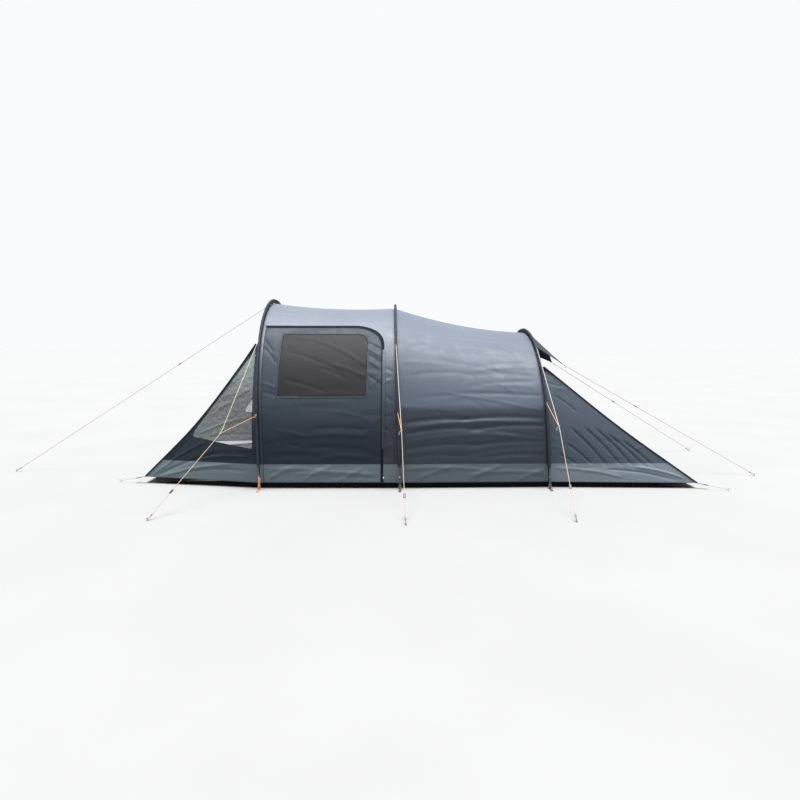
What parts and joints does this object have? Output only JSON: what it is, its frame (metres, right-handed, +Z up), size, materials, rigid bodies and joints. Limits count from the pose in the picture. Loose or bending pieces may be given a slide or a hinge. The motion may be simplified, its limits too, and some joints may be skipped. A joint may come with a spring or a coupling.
{
  "type": "tunnel tent",
  "caption": "Tunnel tent on hoop poles with a sloping porch, clear porch windows, side door with mesh window, hooded rear vent, inner tent and pegged guy lines.",
  "frame": {"origin": "on the ground under the middle hoop, at the centre of the tent's width, on the groundsheet's underside", "axes": "+X towards the rear end, +Y to the side without the door, +Z up"},
  "size_m": [7.2684, 4.4682, 1.7455],
  "materials": {
    "fly": "coated polyester, slight sheen",
    "sleeve": "dark polyester",
    "mesh": "fine mesh",
    "clear": "clear PVC film",
    "inner": "uncoated polyester",
    "floor": "woven polyethylene",
    "pole": "glass-fibre rod",
    "webbing": "woven strap",
    "cord": "braided cord",
    "runner": "moulded",
    "peg": "galvanised wire"
  },
  "bodies": {
    "tent": {"pole_front": "pole", "sleeve_front": "sleeve", "pole_middle": "pole", "sleeve_middle": "sleeve", "pole_rear": "pole", "sleeve_rear": "sleeve", "fly_living": "fly", "fly_bedroom": "fly", "fly_porch": "fly", "fly_rear_end": "fly", "porch_window_near": "clear", "porch_window_far": "clear", "vent_mesh": "mesh", "vent_hood": "fly", "inner_canopy": "inner", "groundsheet": "floor", "inner_floor": "floor", "foot_tab_front_near": "webbing", "foot_tab_middle_near": "webbing", "foot_tab_rear_near": "webbing", "tip_strap_front_near": "webbing", "tip_strap_rear_near": "webbing", "foot_tab_front_far": "webbing", "foot_tab_middle_far": "webbing", "foot_tab_rear_far": "webbing", "tip_strap_front_far": "webbing", "tip_strap_rear_far": "webbing", "guy_front_near": "cord", "peg_front_near": "peg", "guy_middle_near": "cord", "peg_middle_near": "peg", "guy_rear_near": "cord", "peg_rear_near": "peg", "guy_front_far": "cord", "peg_front_far": "peg", "guy_middle_far": "cord", "peg_middle_far": "peg", "guy_rear_far": "cord", "peg_rear_far": "peg", "guy_front_centre": "cord", "peg_front_centre": "peg", "guy_hood_near": "cord", "peg_hood_near": "peg", "guy_hood_far": "cord", "peg_hood_far": "peg"},
    "side_door": {"side_door": "fly", "side_door_mesh": "mesh"},
    "inner_door": {"inner_door": "inner"},
    "zip_slider": {"door_zip_slider": "peg"},
    "runner_front_near": {"runner_front_near": "runner"},
    "runner_middle_near": {"runner_middle_near": "runner"},
    "runner_rear_near": {"runner_rear_near": "runner"},
    "runner_front_far": {"runner_front_far": "runner"},
    "runner_middle_far": {"runner_middle_far": "runner"},
    "runner_rear_far": {"runner_rear_far": "runner"},
    "runner_front_centre": {"runner_front_centre": "runner"},
    "runner_hood_near": {"runner_hood_near": "runner"},
    "runner_hood_far": {"runner_hood_far": "runner"}
  },
  "joints": [
    {"name": "side_door_swing", "type": "hinge", "parent": "tent", "child": "side_door", "pos_m": [-1.198, -1.163, 0], "axis": [0, 0, -1], "range_deg": [0, 95]},
    {"name": "zip_slider_slide", "type": "slide", "parent": "tent", "child": "zip_slider", "axis": [0, 0.03, 0.9996], "range_m": [0, 0.2]},
    {"name": "inner_door_swing", "type": "hinge", "parent": "tent", "child": "inner_door", "pos_m": [0.154, 0.328, 0], "axis": [0, 0, -1], "range_deg": [0, 100]},
    {"name": "runner_front_near_slide", "type": "slide", "parent": "tent", "child": "runner_front_near", "axis": [0.3939, 0.6978, 0.5983], "range_m": [-0.1, 0.35]},
    {"name": "runner_middle_near_slide", "type": "slide", "parent": "tent", "child": "runner_middle_near", "axis": [-0.0342, 0.7082, 0.7052], "range_m": [-0.1, 0.35]},
    {"name": "runner_rear_near_slide", "type": "slide", "parent": "tent", "child": "runner_rear_near", "axis": [0.0398, 0.7111, 0.702], "range_m": [-0.1, 0.35]},
    {"name": "runner_front_far_slide", "type": "slide", "parent": "tent", "child": "runner_front_far", "axis": [0.3939, -0.6978, 0.5983], "range_m": [-0.1, 0.35]},
    {"name": "runner_middle_far_slide", "type": "slide", "parent": "tent", "child": "runner_middle_far", "axis": [-0.0342, -0.7082, 0.7052], "range_m": [-0.1, 0.35]},
    {"name": "runner_rear_far_slide", "type": "slide", "parent": "tent", "child": "runner_rear_far", "axis": [0.0398, -0.7111, 0.702], "range_m": [-0.1, 0.35]},
    {"name": "runner_front_centre_slide", "type": "slide", "parent": "tent", "child": "runner_front_centre", "axis": [0.8124, 0.1551, 0.5621], "range_m": [-0.6, 0.6]},
    {"name": "runner_hood_near_slide", "type": "slide", "parent": "tent", "child": "runner_hood_near", "axis": [-0.8355, 0.2135, 0.5063], "range_m": [-0.5, 0.5]},
    {"name": "runner_hood_far_slide", "type": "slide", "parent": "tent", "child": "runner_hood_far", "axis": [-0.8355, -0.2135, 0.5063], "range_m": [-0.5, 0.5]}
  ]
}
